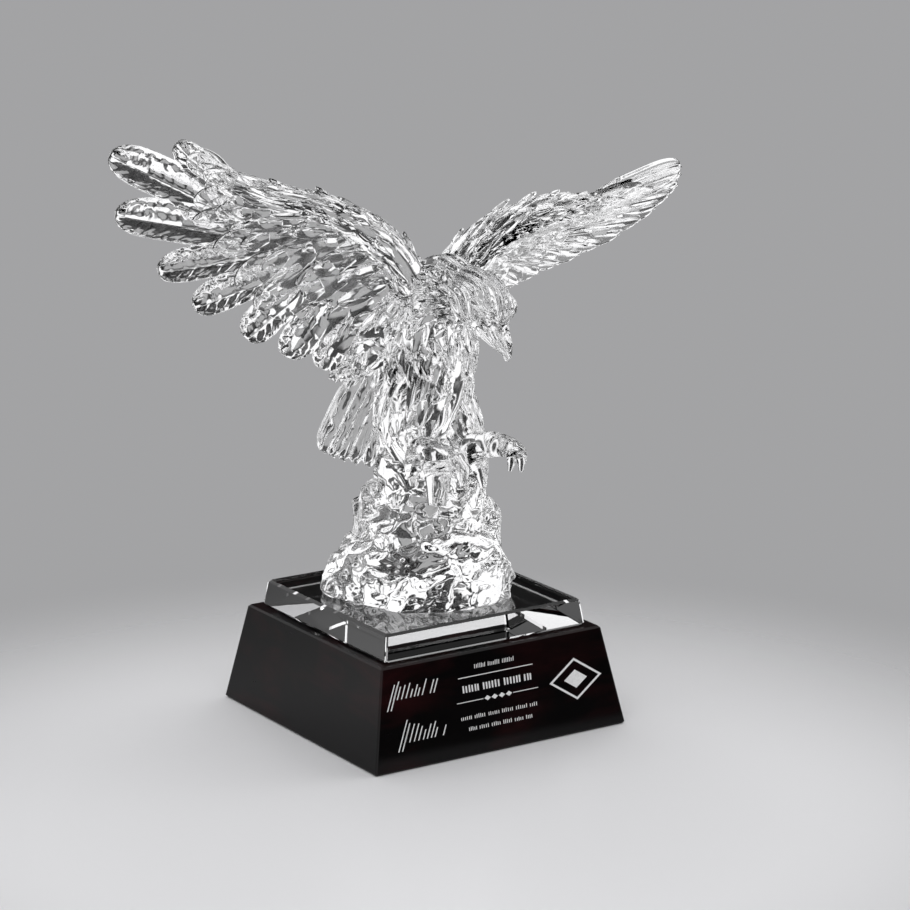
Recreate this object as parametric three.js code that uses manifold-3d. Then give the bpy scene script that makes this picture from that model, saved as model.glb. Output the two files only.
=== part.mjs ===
// Clear crystal eagle landing on a rough rock, cast as one solid, on a clear square plate
// that rests on a tapered dark wood block. Millimetres, +Z up, -Y is the face with the rows.
import * as THREE from "three";
import { mergeVertices } from "three/addons/utils/BufferGeometryUtils.js";
import Module from "manifold-3d";

const wasm = await Module();
wasm.setup();

// Driving sizes. A margin, taper, flare or ledge is measured on one side.
const blockSide = 150;
const blockTaper = 9.5;
const blockHeight = 51;
const plateMargin = 5.5;
const plateFlare = 2;
const plateThickness = 14;
const edgeBreak = 0.8;
const rockLedge = 8.5;
const figureHeight = 240;
const castTolerance = 1;

// What stands on a piece takes its size from that piece.
const blockTopSide = blockSide - 2 * blockTaper;
const plateSide = blockTopSide - 2 * plateMargin;
const plateTopSide = plateSide - 2 * plateFlare;
const rockFoot = plateTopSide / 2 - rockLedge;

// The figure's stations below are written in 240ths of its height, above the plate.
const unit = figureHeight / 240;
const seat = blockHeight + plateThickness;
const at = ([x, y, z]) => new THREE.Vector3(x * unit, y * unit, z * unit + seat);
const dir = ([x, y, z]) => new THREE.Vector3(x, y, z).normalize();

// A merged, closed geometry as a manifold-3d solid.
function solidOf(geometry) {
  const bare = geometry.clone();
  bare.deleteAttribute("normal");
  bare.deleteAttribute("uv");
  const merged = mergeVertices(bare, 1e-4);
  return new wasm.Manifold(
    new wasm.Mesh({
      numProp: 3,
      vertProperties: new Float32Array(merged.attributes.position.array),
      triVerts: new Uint32Array(merged.index.array),
    }),
  );
}

// Rings of equal length, joined in order and closed at both ends, as one solid. Staggered
// rings sit half a step round from their neighbours, so every other band leans the other way.
function ringSolid(rings, staggered = false) {
  const sides = rings[0].length;
  const points = rings.flat();
  const faces = [];
  const middle = (ring) =>
    ring.reduce((sum, p) => sum.add(p), new THREE.Vector3()).multiplyScalar(1 / sides);
  const first = points.push(middle(rings[0])) - 1;
  const last = points.push(middle(rings[rings.length - 1])) - 1;
  const top = (rings.length - 1) * sides;
  for (let j = 0; j < sides; j += 1) {
    const k = (j + 1) % sides;
    faces.push(first, k, j);
    faces.push(last, top + j, top + k);
    for (let i = 0; i + 1 < rings.length; i += 1) {
      const a = i * sides;
      const b = a + sides;
      const leans = staggered && i % 2 === 0;
      faces.push(a + j, a + k, leans ? b + j : b + k);
      faces.push(leans ? a + k : a + j, b + k, b + j);
    }
  }
  let volume = 0;
  for (let i = 0; i < faces.length; i += 3) {
    const [a, b, c] = [points[faces[i]], points[faces[i + 1]], points[faces[i + 2]]];
    volume += a.dot(b.clone().cross(c));
  }
  if (volume < 0) {
    faces.reverse();
  }
  const geometry = new THREE.BufferGeometry().setFromPoints(points);
  geometry.setIndex(faces);
  return solidOf(geometry);
}

// Smooth values between the stations of a table, at share t of its length.
function along(stations, t) {
  const last = stations.length - 1;
  const place = Math.min(Math.max(t, 0), 1) * last;
  const i = Math.min(Math.floor(place), last - 1);
  const f = place - i;
  const pick = (n) => stations[Math.min(Math.max(n, 0), last)];
  return stations[i].map((_, k) => {
    const [a, b, c, d] = [pick(i - 1)[k], pick(i)[k], pick(i + 1)[k], pick(i + 2)[k]];
    const bend = 2 * a - 5 * b + 4 * c - d;
    const cubic = 3 * b - a - 3 * c + d;
    return b + 0.5 * f * (c - a + f * (bend + f * cubic));
  });
}

// A limb or trunk: oval rings square to a spine of stations [x, y, z, half width, half depth].
// The width lies along `side`, and `relief` lifts the surface by a share of its radius.
function trunk(stations, ringCount, sides, side, relief = () => 0) {
  const rings = [];
  for (let i = 0; i <= ringCount; i += 1) {
    const t = i / ringCount;
    const [x, y, z, wide, deep] = along(stations, t);
    const before = at(along(stations, t - 0.02));
    const heading = at(along(stations, t + 0.02)).sub(before).normalize();
    const across = dir(side).addScaledVector(heading, -dir(side).dot(heading)).normalize();
    const over = heading.clone().cross(across);
    const turn = (i % 2) * 0.5;
    const ring = [];
    for (let j = 0; j < sides; j += 1) {
      const angle = ((j + turn) / sides) * 2 * Math.PI;
      const lift = unit * (1 + relief(angle, t, i));
      ring.push(
        at([x, y, z])
          .addScaledVector(across, wide * lift * Math.cos(angle))
          .addScaledVector(over, deep * lift * Math.sin(angle)),
      );
    }
    rings.push(ring);
  }
  return ringSolid(rings, true);
}

// One moulded feather: a flat blade with a raised shaft, from root to tip, facing `face`.
function feather(root, tip, halfWidth, halfThick, face, shape) {
  const { bow = 0, rings = 7, neck = 0.55, blunt = 0.3, full = 2, fine = true } = shape;
  const [from, to] = [at(root), at(tip)];
  const middle = from.clone().lerp(to, 0.5).addScaledVector(dir(face), -bow * unit);
  const spine = new THREE.QuadraticBezierCurve3(from, middle, to);
  const made = [];
  for (let i = 0; i <= rings; i += 1) {
    const t = i === rings ? 0.985 : i / rings;
    const heading = spine.getTangent(t);
    const across = dir(face).cross(heading).normalize();
    const over = heading.clone().cross(across);
    const toTip = Math.max(0, (t - 1 + blunt) / blunt);
    const round = (1 - toTip ** full) ** (1 / full);
    const wide = halfWidth * unit * round * (neck + (1 - neck) * Math.min(1, t / 0.4));
    const thick = halfThick * unit * (1 - 0.45 * t) * (0.35 + 0.65 * round);
    const section = fine
      ? [[1, 0], [0.25, 0.5], [0, 1], [-0.25, 0.5], [-1, 0], [0, -0.8]]
      : [[1, 0], [0, 1], [-1, 0], [0, -1]];
    made.push(
      section.map(([w, h]) =>
        spine
          .getPoint(t)
          .addScaledVector(across, w * wide)
          .addScaledVector(over, h * thick),
      ),
    );
  }
  return ringSolid(made);
}

// Overlapping scale feathers on a trunk: lobes that swap places on every second ring.
const quilted = (lobes, depth) => (angle, t, i) =>
  depth * Math.cos(lobes * angle + (i % 4 < 2 ? 0 : Math.PI));

// Rock: uneven rings [height, half width, half depth], wide at the foot and drawn in to a
// waist under the claws. The widths are shares of the room that the plate leaves.
const rockStations = [
  [0, 0.97, 0.95],
  [4, 1, 0.98],
  [12, 0.97, 0.95],
  [22, 0.9, 0.89],
  [32, 0.83, 0.83],
  [41, 0.77, 0.78],
  [50, 0.7, 0.73],
  [59, 0.64, 0.67],
  [67, 0.62, 0.66],
  [73, 0.57, 0.61],
  [77, 0.36, 0.38],
].map(([z, wide, deep]) => [0, 0, z, (wide * rockFoot) / unit, (deep * rockFoot) / unit]);

// The hollow is a shallow arched recess low on the front-left corner.
const hollowAngle = THREE.MathUtils.degToRad(-115);
function rockLumps(angle, t) {
  const aside = Math.abs(Math.sin((angle - hollowAngle) / 2)) * 2;
  const within = THREE.MathUtils.smoothstep(0.75 - aside - 1.4 * Math.max(0, t - 0.12), 0, 0.2);
  return (
    0.04 * Math.sin(3 * angle + 5 * t) +
    0.035 * Math.sin(5 * angle - 9 * t + 1) +
    0.025 * Math.sin(8 * angle + 13 * t) * Math.sin(9 * t + angle) -
    0.07 * within
  );
}

// Trunk of the bird from the vent to the back of the head.
const bodyStations = [
  [-3, 8, 64, 10, 9],
  [-2, 5, 80, 19, 17],
  [-1, 1, 97, 23, 20.5],
  [0, -3, 114, 24.5, 23],
  [1, -5, 131, 23.5, 22],
  [2, -9, 147, 21.5, 20],
  [3, -17, 157, 18.5, 20],
  [5, -28, 158, 15, 16],
  [7, -36, 155, 12.5, 13],
];

// The head's own frame: origin between the eyes, pointing down and to the bird's left.
const headAt = [9, -44.5, 152];
const headTurn = THREE.MathUtils.degToRad(20);
const headDip = THREE.MathUtils.degToRad(26);
const headFrame = new THREE.Matrix4()
  .makeRotationZ(headTurn)
  .multiply(new THREE.Matrix4().makeRotationX(headDip));
const inHead = ([s, f, h]) => {
  const p = new THREE.Vector3(s, -f, h).applyMatrix4(headFrame);
  return [headAt[0] + p.x, headAt[1] + p.y, headAt[2] + p.z];
};
const headStations = [
  [0, -22, 2, 9, 9],
  [0, -14, 3, 12.5, 12.5],
  [0, -5, 2.5, 13.5, 14],
  [0, 2, 0, 12, 13.5],
  [0, 7.2, -4.6, 7.8, 9.8],
  [0, 12.4, -7.6, 5.2, 6.8],
  [0, 17, -9.8, 3.8, 5],
  [0, 20.2, -12.3, 2.4, 3],
  [0, 22, -15.5, 0.9, 1.1],
].map(([s, f, h, wide, deep]) => [...inHead([s, f, h]), wide, deep]);

const pieces = [];
pieces.push(trunk(rockStations, 13, 20, [1, 0, 0], rockLumps));
pieces.push(
  trunk(bodyStations, 18, 18, [1, 0, 0], quilted(9, 0.08)),
);
pieces.push(trunk(headStations, 14, 14, [0.94, 0.34, 0]));
for (const hand of [-1, 1]) {
  const brow = [
    [...inHead([hand * 9.5, -5, 9]), 1.5, 1.5],
    [...inHead([hand * 10.5, 3, 10]), 3.3, 3.2],
    [...inHead([hand * 9, 8.5, 7]), 2.2, 2],
  ];
  pieces.push(trunk(brow, 5, 6, [0, 0, 1]));
}

// Legs with loose thigh feathers, then the toes with their claws: on the near foot the middle,
// outer and inner toe, and on the far foot the two that reach out over the edge and the inner.
const nearLeg = [
  [-11, 0, 104, 13, 14],
  [-15, -4, 92, 12, 13],
  [-17, -14, 81, 8, 9],
  [-17, -24, 76, 7, 7],
];
const farLeg = [
  [13, -2, 102, 12, 13],
  [16, -8, 91, 10.5, 11],
  [15, -18, 82, 7.5, 8],
  [15, -26, 78, 7, 7],
];
const nearToes = [
  [[-17, -24, 80, 8, 7.5], [-17, -35, 80, 8, 8], [-19, -44, 74, 7.5, 5], [-22, -48, 58, 5, 2.5]],
  [[-17, -24, 78, 6, 6], [-24, -31, 79, 5, 5], [-29, -37, 74, 4, 4], [-30, -39, 67, 1.5, 1.5]],
  [[-14, -26, 78, 6, 6], [-8, -36, 79, 5.5, 5.5], [-5, -43, 73, 4.5, 4], [-5, -45, 65, 1.5, 1.5]],
];
const farToes = [
  [[15, -24, 78, 8, 7], [18, -41, 82, 7, 6], [22, -55, 80.5, 4, 3.5], [20, -60, 72, 1, 1]],
  [[16, -28, 79, 6, 6], [19, -42, 82, 5, 4.5], [20, -51, 79, 3.2, 3], [18, -53, 71, 1, 1]],
  [[14, -26, 77, 6, 6], [9, -36, 77, 5.5, 5], [8, -42, 70, 4, 3.5], [9, -43, 62, 1.5, 1.5]],
];
pieces.push(trunk(nearLeg, 5, 10, [1, 0, 0]));
pieces.push(trunk(farLeg, 5, 10, [1, 0, 0]));
for (const toe of [...nearToes, ...farToes]) {
  pieces.push(trunk(toe, 6, 6, [1, 0, 0]));
}

// Tail: a fan of grooved feathers, down and back, with squared ends.
const tailCount = 6;
for (let i = 0; i < tailCount; i += 1) {
  const share = i / (tailCount - 1);
  const sag = 22 * share - 8 * share * share;
  const root = [-23 + 31 * share, 19, 116 - 5 * share];
  const tip = [-22.5 + 36.5 * share, 61 + 5 * Math.sin(Math.PI * share), 64 - sag];
  const shape = { bow: 3, rings: 4, blunt: 0.12, neck: 0.75 };
  pieces.push(feather(root, tip, 7.5, 4, [-0.2, -0.72, -0.66], shape));
}

// A wing is described by its leading edge, the line where the long feathers leave the coverts,
// and the tips of the long feathers, each from the body outwards.
const nearWing = {
  lead: [
    [-6, -5, 154], [-18, -7, 174], [-34, -8, 188.5], [-50, -8, 198],
    [-66, -7, 205], [-82, -4, 210.5], [-95, -1, 215], [-105, 3, 219],
  ],
  rear: [
    [-20, 12, 116], [-42, 18, 126], [-58, 20, 141], [-72, 20, 154],
    [-85, 18, 167], [-97, 14, 184], [-106, 9, 203], [-108, 5, 216],
  ],
  face: [-0.22, -0.91, -0.31],
  tipFace: [-0.22, -0.91, -0.31],
  tips: [
    [-44, 22, 116, 10], [-63, 26, 124, 10.5], [-87, 26, 136.5, 11], [-116, 26, 156, 10.5],
    [-136, 24, 176.5, 10], [-159, 22, 207, 11], [-162, 20, 236, 10.5], [-130, 14, 239, 7],
  ],
};
const farWing = {
  lead: [
    [8, -5, 153], [22, -6, 169.5], [36, -7, 180], [50, -7, 185.5],
    [66, -6, 189], [80, -4, 190], [94, 0, 189.5], [108, 6, 189.5],
  ],
  rear: [
    [22, 28, 120], [42, 36, 130], [60, 42, 140], [76, 45, 149],
    [92, 44, 158], [106, 38, 168], [116, 28, 179], [118, 14, 188],
  ],
  face: [0.35, -0.62, -0.7],
  tipFace: [0.2, -0.95, -0.2],
  tips: [
    [56, 44, 128, 9], [82, 54, 136, 10.5], [110, 58, 144, 10.5], [137, 58, 151.5, 10.5],
    [160, 53, 161, 10.5], [176, 43, 175, 10.5], [184, 34, 188, 9.5], [175, 19, 200.5, 8.5],
  ],
};

// A point of the wing's web: s from body to hand, t from leading edge to the rear line,
// hollowed towards the back between them.
function webPoint(wing, s, t, hollow) {
  const lead = along(wing.lead, s);
  const rear = along(wing.rear, s);
  const sink = hollow * Math.sin(Math.PI * t) * Math.sin(Math.PI * Math.min(1, s + 0.25));
  const face = dir(wing.face);
  return lead.map((v, k) => v + (rear[k] - v) * t - sink * face.getComponent(k));
}

function wingWeb(wing) {
  const rings = [];
  const [steps, cuts] = [9, 5];
  const face = dir(wing.face);
  for (let i = 0; i <= steps; i += 1) {
    const s = i / steps;
    const ring = [];
    for (const sign of [1, -1]) {
      for (let j = 0; j < cuts; j += 1) {
        const t = sign > 0 ? j / cuts : 1 - j / cuts;
        const thick = sign * unit * (5.5 - 3 * t) * (1 - 0.35 * s) * Math.min(1, 4 * t + 0.5);
        ring.push(at(webPoint(wing, s, t, 5)).addScaledVector(face, thick));
      }
    }
    rings.push(ring);
  }
  return ringSolid(rings);
}

function wing(shape) {
  pieces.push(wingWeb(shape));
  const roll = shape.lead.map((p, i) => [...p, 11 - 0.95 * i, 10 - 0.85 * i]);
  pieces.push(trunk(roll, 12, 8, shape.face, quilted(4, 0.09)));
  const last = shape.tips.length - 1;
  shape.tips.forEach(([x, y, z, wide], i) => {
    const root = webPoint(shape, 0.16 + (0.8 * i) / last, 0.62, 2);
    const lift = i % 2 ? 0.9 : -0.9;
    const turned = (i / last) ** 2;
    const face = shape.face.map((v, k) => v + turned * (shape.tipFace[k] - v));
    const raised = root.map((v, k) => v + lift * face[k]);
    const long = { bow: 3, rings: 6, full: 2.4, fine: false };
    pieces.push(feather(raised, [x, y, z], wide, 3.4, face, long));
  });
  const rows = [
    { count: 6, from: 0.5, to: 1.12, wide: 10, lift: 2.2, drift: 0.03 },
    { count: 6, from: 0.15, to: 0.7, wide: 9.5, lift: 4.2, drift: 0.05 },
    { count: 5, from: -0.02, to: 0.34, wide: 8.5, lift: 6, drift: 0.08 },
  ];
  for (const row of rows) {
    for (let i = 0; i < row.count; i += 1) {
      const s = 0.08 + (0.86 * i) / (row.count - 1);
      const raise = (p) => p.map((v, k) => v + row.lift * shape.face[k]);
      const root = raise(webPoint(shape, s, row.from, 5));
      const tip = raise(webPoint(shape, s + row.drift, row.to, 4));
      const lobe = { rings: 4, fine: false, blunt: 0.45 };
      pieces.push(feather(root, tip, row.wide, 2.6, shape.face, lobe));
    }
  }
}
wing(nearWing);
wing(farWing);

const figure = pieces.reduce((sum, piece) => sum.add(piece));
const under = new THREE.BoxGeometry(2 * figureHeight, 2 * figureHeight, figureHeight);
under.translate(0, 0, seat - figureHeight / 2);
// The outer shell alone, with what was sealed between overlapping forms filled.
const shells = figure.subtract(solidOf(under)).simplify(castTolerance).decompose();
const cast = shells.reduce((a, b) => (b.volume() > a.volume() ? b : a));

// A manifold-3d solid as a three.js geometry.
function geometryOf(solid) {
  const mesh = solid.getMesh();
  const geometry = new THREE.BufferGeometry();
  geometry.setAttribute("position", new THREE.BufferAttribute(mesh.vertProperties, 3));
  geometry.setIndex(new THREE.BufferAttribute(mesh.triVerts, 1));
  geometry.computeVertexNormals();
  return geometry;
}

// A square frustum with its long edges broken by small flats.
function frustum(bottom, top, height) {
  const level = (side, z) => {
    const h = side / 2;
    const c = h - edgeBreak;
    const outline = [[c, h], [h, c], [h, -c], [c, -h], [-c, -h], [-h, -c], [-h, c], [-c, h]];
    return outline.map(([x, y]) => new THREE.Vector3(x, y, z));
  };
  const slope = (top - bottom) / height;
  return ringSolid([
    level(bottom - 2 * edgeBreak, 0),
    level(bottom + slope * edgeBreak, edgeBreak),
    level(top - slope * edgeBreak, height - edgeBreak),
    level(top - 2 * edgeBreak, height),
  ]);
}

const group = new THREE.Group();
function addPart(name, solid, height, look) {
  const material = new THREE.MeshStandardMaterial(look);
  const mesh = new THREE.Mesh(geometryOf(solid), material);
  mesh.name = name;
  mesh.position.z = height;
  group.add(mesh);
}
const crystal = { color: 0xeef3f5, roughness: 0.05, metalness: 0 };
addPart("wood_block", frustum(blockSide, blockTopSide, blockHeight), 0, {
  color: 0x1c0f0d,
  roughness: 0.2,
  metalness: 0,
});
addPart("crystal_plate", frustum(plateSide, plateTopSide, plateThickness), blockHeight, crystal);
addPart("eagle_on_rock", cast, 0, crystal);

export default group;
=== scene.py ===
# %% [markdown]
# # A clear crystal eagle on a dark wood block
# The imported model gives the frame: a tapered block, a clear plate and one cast figure. Here the
# figure is cast again with finer relief, the block and the plate get narrow edge flats, and each
# surface gets its finish.

import bmesh
import bpy
import numpy as np
from mathutils import Matrix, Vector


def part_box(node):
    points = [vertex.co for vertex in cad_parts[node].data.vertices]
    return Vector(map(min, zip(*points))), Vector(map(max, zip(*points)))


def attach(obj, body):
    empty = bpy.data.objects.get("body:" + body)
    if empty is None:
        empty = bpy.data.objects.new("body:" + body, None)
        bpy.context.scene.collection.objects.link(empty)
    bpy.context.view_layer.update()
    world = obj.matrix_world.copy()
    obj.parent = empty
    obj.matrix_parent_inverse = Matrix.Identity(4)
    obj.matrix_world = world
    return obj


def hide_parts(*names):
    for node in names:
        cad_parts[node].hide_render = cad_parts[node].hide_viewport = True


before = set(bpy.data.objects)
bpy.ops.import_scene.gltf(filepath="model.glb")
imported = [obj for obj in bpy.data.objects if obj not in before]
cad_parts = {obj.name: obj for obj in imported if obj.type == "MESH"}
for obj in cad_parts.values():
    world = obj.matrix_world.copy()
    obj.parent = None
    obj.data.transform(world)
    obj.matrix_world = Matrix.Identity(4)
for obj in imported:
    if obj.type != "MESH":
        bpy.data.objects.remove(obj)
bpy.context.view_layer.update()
print("nodes", sorted(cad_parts))

# %% [markdown]
# ## Sizes
# The figure's tables are written in 240ths of its height above the plate, as in the CAD model,
# so one unit is one millimetre at this height. Where the block and the plate lie is read from
# the frame.

# %% Sizes in metres
block_low, block_high = (np.array(corner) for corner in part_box("wood_block"))
plate_low, plate_high = (np.array(corner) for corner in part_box("crystal_plate"))
figure_height = 0.240
unit = figure_height / 240
seat = plate_high[2]
contact_gap = 0.00005
rock_ledge = 0.0085
block_side = 0.150
plate_flare = 0.002
block_taper = 0.0095
rock_foot = (plate_high[0] - plate_flare - rock_ledge) / unit
print("seat", round(seat, 4), "rock foot", round(rock_foot, 2))

# %% [markdown]
# ## Shapes as grids of points
# The real figure is moulded glass, all in one, and could be sculpted by hand. Here every form of
# it is a grid instead: rings of points along a middle line, worked out as whole arrays. A ring is
# closed, and a point in the middle closes each end. Such a grid is easy to bend, to roughen and
# to unite with others, because it is always a closed solid.

# %% Curves and noise


def rows_along(stations, t):
    """Values between the rows of a table at the shares t of its length.

    With f the share of the way from row b to row c, and a and d the rows on either side, the
    value is b + f/2 (c - a + f (2a - 5b + 4c - d + f (3b - a - 3c + d))).
    """
    rows = np.asarray(stations, float)
    last = len(rows) - 1
    place = np.clip(t, 0, 1) * last
    i = np.minimum(place.astype(int), last - 1)
    f = (place - i)[..., None]
    a, b, c = rows[np.maximum(i - 1, 0)], rows[i], rows[i + 1]
    d = rows[np.minimum(i + 2, last)]
    return b + f / 2 * (c - a + f * (2 * a - 5 * b + 4 * c - d + f * (3 * b - a - 3 * c + d)))


def unit_rows(vectors):
    """Each vector divided by its length."""
    vectors = np.asarray(vectors, float)
    return vectors / np.linalg.norm(vectors, axis=-1, keepdims=True)


def noise(points, size, seed):
    """Smooth random values from -1 to 1.

    Each corner of a lattice with this spacing has a fixed random value, and between the corners
    the values are mixed with weights s s (3 - 2 s), s being the share of the way.
    """
    place = np.asarray(points, float) / size + 512.5
    low = np.floor(place).astype(np.int64)
    share = place - low
    share = share * share * (3 - 2 * share)
    total = np.zeros(place.shape[:-1])
    for corner in np.ndindex(2, 2, 2):
        k = low + np.array(corner)
        key = (k[..., 0] * 73856093) ^ (k[..., 1] * 19349663) ^ (k[..., 2] * 83492791)
        key = (key ^ (seed * 7919)) * 2654435761 & 0x7FFFFFFF
        key = ((key >> 11) ^ key) * 1274126177 & 0x7FFFFFFF
        value = (key >> 9 & 0xFFFF) / 32767.5 - 1
        weight = np.prod(np.where(np.array(corner) == 1, share, 1 - share), axis=-1)
        total += value * weight
    return total


def pillows(a, b, seed):
    """Irregular cells: 1 inside a cell, falling to 0 along the lines between cells.

    Each square of a unit lattice over (a, b) holds one point at a fixed random place. With d1
    and d2 the distances to the nearest and the second nearest point, the value rises smoothly
    from 0 at d2 - d1 = 0 to 1 at d2 - d1 = 0.5.
    """
    a, b = np.broadcast_arrays(a, b)
    low_a, low_b = np.floor(a).astype(np.int64), np.floor(b).astype(np.int64)
    first, second = np.full(a.shape, 9.0), np.full(a.shape, 9.0)
    for step_a, step_b in np.ndindex(3, 3):
        i, j = low_a + step_a - 1, low_b + step_b - 1
        key = ((i + 512) * 73856093 ^ (j + 512) * 19349663 ^ seed * 7919) * 2654435761
        key = key & 0x7FFFFFFF
        at_a = i + 0.5 + 0.75 * ((key >> 7 & 0xFF) / 255 - 0.5)
        at_b = j + 0.5 + 0.75 * ((key >> 17 & 0xFF) / 255 - 0.5)
        away = np.hypot(a - at_a, b - at_b)
        second = np.minimum(second, np.maximum(first, away))
        first = np.minimum(first, away)
    return step_up(second - first, 0, 0.5)


def bump_at(x, middle, width):
    """A smooth bump: exp(-((x - middle) / width) squared)."""
    return np.exp(-(((x - middle) / width) ** 2))


def step_up(x, start, end):
    """0 before start, 1 after end, and s s (3 - 2 s) between them."""
    s = np.clip((x - start) / (end - start), 0, 1)
    return s * s * (3 - 2 * s)


print("half way up a step", step_up(0.5, 0, 1))

# %% [markdown]
# Two kinds of form do for the whole bird. A limb is a run of ovals along a spine, for the trunk,
# the head, a leg or a toe. A blade is a flat pointed form with a shaft, for a feather or a tuft.

# %% Limbs


def limb(stations, rings, sides, side, lift=None):
    """Oval rings square to a spine of stations [x, y, z, half width, half depth].

    A point is spine + (1 + lift) (width cos(angle) across + depth sin(angle) over). Across is
    `side` made square to the spine, and over is square to both.
    """
    t = np.linspace(0, 1, rings)
    row = rows_along(stations, t)
    ahead = rows_along(stations, t + 0.02)[:, :3] - rows_along(stations, t - 0.02)[:, :3]
    heading = unit_rows(ahead)
    side = unit_rows(side)
    across = unit_rows(side - (heading @ side)[:, None] * heading)
    over = np.cross(heading, across)
    angle = np.arange(sides) / sides * 2 * np.pi
    share = 1 + (0 if lift is None else lift(angle[None, :], t[:, None]))
    share = np.broadcast_to(share, (rings, sides))
    wide = (row[:, 3:4] * np.cos(angle))[..., None] * across[:, None]
    deep = (row[:, 4:5] * np.sin(angle))[..., None] * over[:, None]
    return row[:, None, :3] + share[..., None] * (wide + deep)


# %% Blades


def blade(root, tip, wide, thick, face, seed=0, rings=14, cuts=(7, 5), bow=0.0, neck=0.55,
          blunt=0.3, point=2.0, sweep=0.0, ribs=0, rib=0.0, shaft=0.45, keel=0.25, fade=0.45,
          cell=0.0, cell_size=(5.0, 2.6)):
    """One moulded feather from root to tip, its face towards `face`.

    The middle line is a quadratic curve whose middle lies `bow` behind the chord. With u from
    -1 to 1 across, a ring's points lie at t + sweep (1 - t) |u| along it, so the rings slant as
    barbs do. With g the share of the blunt end passed, half the width is
    wide (1 - g^point)^(1/point), and narrows to neck times that at the root. The height over
    the middle line is thick times (0.55 - keel) sqrt(1 - u u) + keel (1 - |u|), plus the shaft's
    bump at u = 0 and a bead along the rim. Lengthwise ribs cos(ribs pi u) and, on the front
    alone, a net of raised cells are added to it.
    """
    root, tip, face = np.asarray(root, float), np.asarray(tip, float), unit_rows(face)
    front = np.sin(np.linspace(-1, 1, cuts[0]) * np.pi / 2 * 0.999)
    if shaft and cuts[0] > 9:
        front = np.sort(np.concatenate([front, [-0.09, 0.09]]))
    back = np.sin(np.linspace(1, -1, cuts[1] + 2)[1:-1] * np.pi / 2)
    u = np.concatenate([front, back])[None, :]
    rise = np.concatenate([np.ones(len(front)), -np.ones(len(back))])[None, :]
    edge = np.abs(u)
    tau = np.linspace(0, 1, rings)
    t = (0.997 * (tau + 0.1 * np.sin(np.pi * tau)))[:, None]
    t = t + sweep * (1 - t) * edge
    middle = (root + tip) / 2 - bow * face
    s, q = 1 - t[..., None], t[..., None]
    spine = s * s * root + 2 * q * s * middle + q * q * tip
    heading = unit_rows(s * (middle - root) + q * (tip - middle))
    across = unit_rows(np.cross(face, heading))
    over = np.cross(heading, across)
    gone = np.clip((t - 1 + blunt) / blunt, 0, 1)
    full = (1 - gone**point) ** (1 / point)
    width = wide * full * (neck + (1 - neck) * np.minimum(1, t / 0.4))
    depth = thick * (1 - fade * t) * (0.35 + 0.65 * full)
    body = (0.55 - keel) * np.sqrt(np.maximum(0, 1 - u * u)) + keel * (1 - edge)
    body = body + shaft * bump_at(u, 0, 0.1) + 0.2 * bump_at(edge, 0.86, 0.1)
    vane = step_up(edge, 0.08, 0.2) * (1 - step_up(edge, 0.84, 0.97)) * full
    flat = spine + (u * width)[..., None] * across
    fine = rib * np.cos(ribs * np.pi * u) * full
    if cell:
        along = t * np.linalg.norm(tip - root) - 0.7 * edge * width
        net = pillows(along / cell_size[0], u * width / cell_size[1], seed)
        fine = fine + cell * (net - 0.5) * vane * (rise > 0)
    height = (depth * body + fine) * rise
    return flat + height[..., None] * over


# %% Closed grids


def shell(grid):
    """Points and faces of a closed grid, its faces outward.

    A negative sum of a . (b x c) over the triangles, which is six times the volume, shows that
    they face inward, and then each is turned round.
    """
    rings, sides, _ = grid.shape
    points = np.concatenate([grid.reshape(-1, 3), grid[:1].mean(1), grid[-1:].mean(1)])
    ring, place = np.meshgrid(np.arange(rings - 1), np.arange(sides), indexing="ij")
    here, right = ring * sides + place, ring * sides + (place + 1) % sides
    quads = np.stack([here, right, right + sides, here + sides], -1).reshape(-1, 4)
    j = np.arange(sides)
    k = (j + 1) % sides
    first = np.stack([k, j, np.full(sides, rings * sides)], -1)
    top = (rings - 1) * sides
    last = np.stack([top + j, top + k, np.full(sides, rings * sides + 1)], -1)
    tris = np.concatenate([quads[:, [0, 1, 2]], quads[:, [0, 2, 3]], first, last])
    a, b, c = points[tris[:, 0]], points[tris[:, 1]], points[tris[:, 2]]
    volume = np.einsum("ij,ij->", a, np.cross(b, c))
    return points, tris if volume > 0 else tris[:, ::-1]


def push(grid, amount):
    """The grid moved outward along its own normals by these amounts, in its own units.

    A normal is the step round a ring crossed with the step along the rings.
    """
    along = np.gradient(grid, axis=0)
    around = np.roll(grid, -1, axis=1) - np.roll(grid, 1, axis=1)
    normal = np.cross(around, along)
    size = np.linalg.norm(normal, axis=-1, keepdims=True)
    normal = normal / np.maximum(size, 1e-9)
    outward = grid - grid.mean(1, keepdims=True)
    sign = np.sign(np.einsum("ijk,ijk->", normal, outward))
    return grid + sign * amount[..., None] * normal


# %% [markdown]
# ## From grids to one mesh
# The forms of moulded glass run into each other with no joint, so their grids are united as
# solids. The quick MANIFOLD solver does that in seconds, because every grid is closed.

# %% Meshes


def new_mesh(name, points, faces):
    """A Blender object at the origin with these points in metres and these faces."""
    mesh = bpy.data.meshes.new(name)
    mesh.vertices.add(len(points))
    mesh.vertices.foreach_set("co", np.asarray(points, np.float32).ravel())
    faces = np.asarray(faces)
    count, corners = faces.shape
    mesh.loops.add(count * corners)
    mesh.loops.foreach_set("vertex_index", faces.ravel().astype(np.int32))
    mesh.polygons.add(count)
    mesh.polygons.foreach_set("loop_start", np.arange(0, count * corners, corners, np.int32))
    mesh.update(calc_edges=True)
    mesh.shade_flat()
    thing = bpy.data.objects.new(name, mesh)
    bpy.context.scene.collection.objects.link(thing)
    return thing


def to_metres(points):
    """Figure units to metres, above the plate."""
    return points * unit + np.array([0, 0, seat])


# %% Unions


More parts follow.
